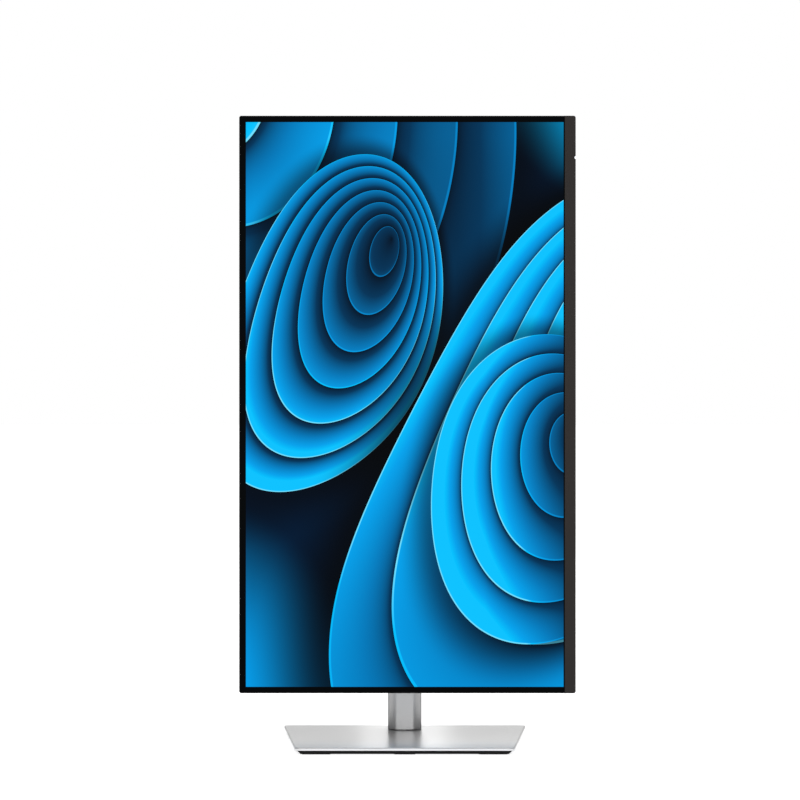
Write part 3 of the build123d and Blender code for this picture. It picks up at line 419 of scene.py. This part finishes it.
def flex_tape():
    """Amber polyimide tape with fine copper tracks along it."""
    g = Graph("flex_tape")
    z = g.split(g.coords)["Z"]
    tracks = g.math("SINE", g.mul(z, 9000.0))
    colour = g.mix(g.between(tracks, -0.2, 0.2), (0.42, 0.19, 0.03, 1.0), (0.62, 0.36, 0.1, 1.0))
    return g.surface(colour=colour, rough=0.35, coat=0.5, coat_rough=0.1,
                     normal=g.bump(tracks, 0.01 * MM, 0.5))


def clear_sheet(name, colour, rough, ior):
    """Glass or acrylic with the faintest ripple."""
    g = Graph(name)
    ripple = g.noise(30.0, detail=1.0)
    return g.surface(colour=colour, rough=rough, ior=ior, through=0.9,
                     normal=g.bump(ripple, 0.01 * MM, 0.3))


def satin_film():
    """White diffusing film."""
    g = Graph("film")
    haze = g.noise(9000.0, detail=1.0)
    cloud = g.noise(12.0, detail=2.0)
    return g.surface(colour=g.mix(cloud, (0.78, 0.79, 0.82, 1.0), (0.9, 0.9, 0.92, 1.0)), rough=0.35,
                     normal=g.bump(haze, 0.004 * MM, 0.5))


def rubber():
    """Pebbled black rubber with a little dust."""
    g = Graph("foot_rubber")
    pebble = g.cells(2200.0, "SMOOTH_F1")
    dust = g.noise(60.0, detail=3.0)
    dusty = g.scaled(dust, 0.45, 0.75, 0.0, 1.0)
    return g.surface(
        colour=g.mix(dusty, (0.012, 0.012, 0.012, 1.0), (0.035, 0.034, 0.033, 1.0)),
        rough=0.78,
        sheen=0.15,
        normal=g.bump(pebble, 0.03 * MM, 0.6, g.rounded_normal(0.2 * MM)),
    )


def component_sleeve():
    """A capacitor's dark shrink sleeve with pale stripes."""
    g = Graph("component_grey")
    x = g.split(g.coords)["X"]
    stripe = g.between(g.math("SINE", g.mul(x, 800.0)), 0.9, 0.95)
    colour = g.mix(stripe, (0.03, 0.035, 0.07, 1.0), (0.35, 0.36, 0.4, 1.0))
    return g.surface(colour=colour, rough=0.3, coat=0.3, coat_rough=0.2,
                     normal=g.bump(g.noise(900.0, detail=2.0), 0.02 * MM, 0.4, g.rounded_normal(0.3 * MM)))


def transformer_tape():
    """Yellow insulating tape wound in laps."""
    g = Graph("transformer_yellow")
    y = g.split(g.coords)["Y"]
    laps = g.between(g.math("FRACT", g.mul(y, 260.0)), 0.9, 1.0)
    colour = g.mix(laps, (0.62, 0.45, 0.05, 1.0), (0.42, 0.28, 0.02, 1.0))
    return g.surface(colour=colour, rough=0.4, coat=0.3, coat_rough=0.2,
                     normal=g.bump(laps, 0.08 * MM, 0.5, g.rounded_normal(0.4 * MM)))


def lit_lens():
    """The standby light's clear pipe, glowing white."""
    g = Graph("status_white")
    core = g.noise(700.0, detail=1.0)
    glow = g.mix(core, (0.85, 0.9, 1.0, 1.0), (1.0, 1.0, 1.0, 1.0))
    return g.surface(colour=(0.9, 0.92, 0.95, 1.0), rough=0.25, glow=glow, glow_strength=0.9)


# ---------------------------------------------------------------- the lit screen

def nested(g, u, v, centre, turn, stretch, drift, wave):
    """How far out a point lies in a family of nested ovals.
    The ovals are turned and stretched, their middles drift as they grow, and a slow wave bends them."""
    a = math.radians(turn)
    du, dv = g.sub(u, centre[0]), g.sub(v, centre[1])
    across = g.add(g.mul(du, math.cos(a)), g.mul(dv, math.sin(a)))
    along = g.sub(g.mul(dv, math.cos(a)), g.mul(du, math.sin(a)))
    across = g.add(across, g.mul(g.math("SINE", g.mul(along, wave[1])), wave[0]))
    along = g.mul(along, 1.0 / stretch)
    lean = g.add(g.mul(across, drift[0]), g.mul(along, drift[1]))
    square = g.add(g.mul(across, across), g.mul(along, along))
    rest = 1.0 - drift[0] ** 2 - drift[1] ** 2
    reach = g.root(g.add(g.mul(lean, lean), g.mul(square, rest)))
    return g.mul(g.sub(reach, lean), 1.0 / rest)


RIM_STARTS = 0.94         # where across a ribbon its bright rim begins
RIBBON_STOPS = [
    (0.0, (0.0, 0.0035, 0.012, 1.0)),
    (0.2, (0.0, 0.035, 0.10, 1.0)),
    (0.5, (0.0, 0.195, 0.50, 1.0)),
    (0.78, (0.0, 0.36, 0.84, 1.0)),
    (RIM_STARTS, (0.0, 0.54, 1.0, 1.0)),
    (1.0, (0.16, 0.74, 1.0, 1.0)),
]


def ribbons(g, distance, pitch, light, power):
    """Nested ribbons: each is lit along its outer edge and falls into shade towards the next one in."""
    step = g.math("FRACT", g.mul(distance, 1.0 / pitch))
    rise = g.math("MINIMUM", g.mul(g.math("POWER", step, power), light), RIM_STARTS)
    rim_light = g.math("MINIMUM", g.add(light, 0.2), 1.0)
    rim = g.mul(g.between(step, RIM_STARTS, 0.975), rim_light)
    return g.ramp(g.math("MAXIMUM", rise, rim), RIBBON_STOPS)


def laid_over(g, colour, sheet, distance, edge, reach, depth):
    """Lays a sheet that ends at edge over the picture so far, with its soft shade just outside."""
    dark = g.scaled(g.between(distance, edge, edge + reach), 0.0, 1.0, depth, 1.0)
    shaded = g.mix(1.0, colour, dark, "MULTIPLY")
    return g.mix(g.math("LESS_THAN", distance, edge), shaded, sheet)


def picture_colour(g, u, v):
    """A generic picture of overlapping blue ribbons.
    u runs across and v up, in decimetres from the middle."""
    low_left = g.between(nested(g, u, v, (-1.9, -3.1), 12.0, 1.35, (0.0, 0.0), (0.0, 1.0)), 1.75, 0.35)
    colour = g.mix(low_left, (0.0, 0.010, 0.035, 1.0), (0.0, 0.37, 0.9, 1.0))
    high_right = g.between(nested(g, u, v, (1.75, 2.9), 20.0, 1.25, (0.0, 0.0), (0.1, 2.0)), 0.95, 0.15)
    colour = g.mix(high_right, colour, (0.0, 0.33, 0.66, 1.0))

    fan = nested(g, u, v, (-2.6, 3.4), 30.0, 1.3, (0.25, -0.35), (0.14, 1.2))
    fan_light = g.mul(g.scaled(v, 0.2, 2.5, 0.3, 0.85), g.scaled(u, -1.4, 0.5, 1.15, 0.42))
    colour = laid_over(g, colour, ribbons(g, fan, 0.40, fan_light, 0.6), fan, 2.4, 0.5, 0.2)

    leaf = nested(g, u, v, (-0.12, 1.55), -24.0, 1.75, (-0.26, -0.60), (0.12, 1.2))
    leaf_light = g.mul(g.scaled(leaf, 0.1, 0.9, 0.28, 1.15), g.scaled(v, -0.9, 2.3, 1.15, 0.6))
    colour = laid_over(g, colour, ribbons(g, leaf, 0.135, leaf_light, 0.75), leaf, 0.945, 0.25, 0.25)

    sail = nested(g, u, v, (2.35, 1.0), -24.0, 1.75, (-0.02, -0.66), (0.18, 0.9))
    sail_light = g.scaled(g.add(v, g.mul(u, 0.8)), -3.0, 1.8, 0.66, 1.12)
    colour = laid_over(g, colour, ribbons(g, sail, 0.30, sail_light, 0.42), sail, 1.80, 0.5, 0.1)

    shell = nested(g, u, v, (1.62, -0.25), -12.0, 1.35, (-0.22, -0.42), (0.08, 1.4))
    shell_light = g.mul(g.scaled(shell, 0.1, 0.8, 0.8, 1.2), g.scaled(u, 0.75, 1.5, 1.05, 0.3))
    colour = laid_over(g, colour, ribbons(g, shell, 0.215, shell_light, 0.5), shell, 1.075, 0.25, 0.3)
    return colour


def lit_screen():
    """The anti-glare film over the whole panel: the lit picture inside, the black mask around it."""
    g = Graph("screen")
    x, _, z = g.split(g.coords)
    u = g.mul(x, PER_DM)
    v = g.mul(g.sub(z, PIVOT_Z), PER_DM)
    across = g.math("LESS_THAN", g.math("ABSOLUTE", u), PICTURE_HALF_W * PER_DM)
    upward = g.math("LESS_THAN", g.math("ABSOLUTE", v), PICTURE_HALF_H * PER_DM)
    inside = g.mul(across, upward)
    glow = g.mix(inside, (0.0, 0.0, 0.0, 1.0), picture_colour(g, u, v))
    haze = g.noise(9000.0, detail=1.0)
    return g.surface(
        colour=(0.001, 0.0015, 0.002, 1.0),
        rough=0.34,
        specular=0.015,
        glow=glow,
        glow_strength=1.0,
        normal=g.bump(haze, 0.003 * MM, 0.35),
    )


# ---------------------------------------------------------------- putting the finishes on the parts

# For plastics: colour, roughness, grain in cells to the metre, grain depth and edge radius in mm.
# For brushed metal: colour, roughness, grain axis, strokes to the metre and edge radius in mm.
# For blasted metal: colour, roughness, grain to the metre, edge radius in mm and tint at the edges.
FINISHES = {
    "bezel_black": lambda n: moulded_plastic(n, (0.003, 0.0035, 0.004), 0.42, 4200.0, 0.012, 0.25,
                                             specular=0.035),
    "chin_grey": lambda n: brushed_metal(n, (0.026, 0.0235, 0.0225), 0.42, "z", 3000.0, 0.15),
    "screen": lambda n: lit_screen(),
    "panel_glass": lambda n: clear_sheet(n, (0.5, 0.52, 0.53, 1.0), 0.02, 1.5),
    "cover_black": lambda n: moulded_plastic(n, (0.021, 0.021, 0.0225), 0.5, 1900.0, 0.05, 0.5),
    "white_plastic": lambda n: moulded_plastic(n, (0.78, 0.78, 0.76), 0.45, 3000.0, 0.01, 0.2, 0.03),
    "film": lambda n: satin_film(),
    "acrylic": lambda n: clear_sheet(n, (0.85, 0.9, 0.92, 1.0), 0.05, 1.49),
    "sheet_metal": lambda n: brushed_metal(n, (0.55, 0.55, 0.56), 0.38, "x", 1800.0, 0.2),
    "circuit_board": lambda n: circuit_board(),
    "flex_tape": lambda n: flex_tape(),
    "chip_black": lambda n: moulded_plastic(n, (0.02, 0.02, 0.02), 0.55, 5000.0, 0.01, 0.15),
    "heatsink": lambda n: brushed_metal(n, (0.35, 0.35, 0.37), 0.4, "z", 2400.0, 0.1),
    "socket_metal": lambda n: brushed_metal(n, (0.44, 0.44, 0.45), 0.28, "y", 2600.0, 0.1),
    "contact_gold": lambda n: brushed_metal(n, (0.8, 0.56, 0.2), 0.25, "y", 3600.0, 0.05),
    "inlet_black": lambda n: moulded_plastic(n, (0.014, 0.014, 0.014), 0.32, 5200.0, 0.008, 0.2),
    "component_grey": lambda n: component_sleeve(),
    "transformer_yellow": lambda n: transformer_tape(),
    "screw_steel": lambda n: brushed_metal(n, (0.42, 0.42, 0.43), 0.3, "x", 3200.0, 0.12),
    "button_black": lambda n: moulded_plastic(n, (0.02, 0.02, 0.021), 0.36, 5200.0, 0.008, 0.3),
    "status_white": lambda n: lit_lens(),
    "spring_steel": lambda n: brushed_metal(n, (0.55, 0.55, 0.57), 0.22, "z", 3000.0, 0.05),
    "mount_black": lambda n: powder_coat(n, (0.022, 0.022, 0.024), 0.42),
    "hub_grey": lambda n: moulded_plastic(n, (0.035, 0.035, 0.038), 0.46, 2400.0, 0.03, 0.5),
    "acetal_white": lambda n: moulded_plastic(n, (0.8, 0.8, 0.77), 0.4, 4200.0, 0.008, 0.2, 0.03),
    "column_silver": lambda n: blasted_metal(n, (0.41, 0.41, 0.413), 0.27, 5200.0, 0.3, 0.15, metal=0.8),
    "cap_grey": lambda n: moulded_plastic(n, (0.2, 0.2, 0.205), 0.45, 3400.0, 0.015, 0.4),
    "base_silver": lambda n: blasted_metal(n, (0.78, 0.78, 0.775), 0.3, 4200.0, 0.35, 0.7, metal=0.4),
    "tray_black": lambda n: moulded_plastic(n, (0.004, 0.004, 0.0043), 0.55, 2600.0, 0.03, 0.3,
                                            specular=0.06),
    "foot_rubber": lambda n: rubber(),
    "weight_steel": lambda n: brushed_metal(n, (0.3, 0.3, 0.31), 0.5, "x", 900.0, 0.3),
}


def dress_nodes():
    """Swaps each CAD node's flat material for the finish of the same slot."""
    made = {}
    for node in nodes.values():
        for place in node.material_slots:
            slot = place.material.name.split(".")[0]
            if slot not in made:
                made[slot] = FINISHES[slot](slot)
            place.material = made[slot]


def floor_material():
    """Matt white that glows enough to run into the backdrop without a line."""
    g = Graph("floor_white")
    cloud = g.noise(2.0, detail=2.0)
    return g.surface(colour=g.mix(cloud, (0.93, 0.93, 0.93, 1.0), (0.96, 0.96, 0.96, 1.0)),
                     rough=0.9, specular=0.1, glow=WHITE, glow_strength=0.75)


def squeezed_spring():
    """The release spring as its own piece with a mesh of its own, carried by the display; the CAD spring is
    hidden.
    """
    source = nodes["release_spring"]
    spring = bpy.data.objects.new("button_spring", source.data.copy())
    scene.collection.objects.link(spring)
    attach(spring, "display")
    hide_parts("release_spring")
    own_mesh(spring)


make_camera()
make_world()
dress_nodes()
squeezed_spring()
make_floor(floor_material())
for lamp in LAMPS:
    soft_box(*lamp)
scene.view_settings.view_transform = "Standard"
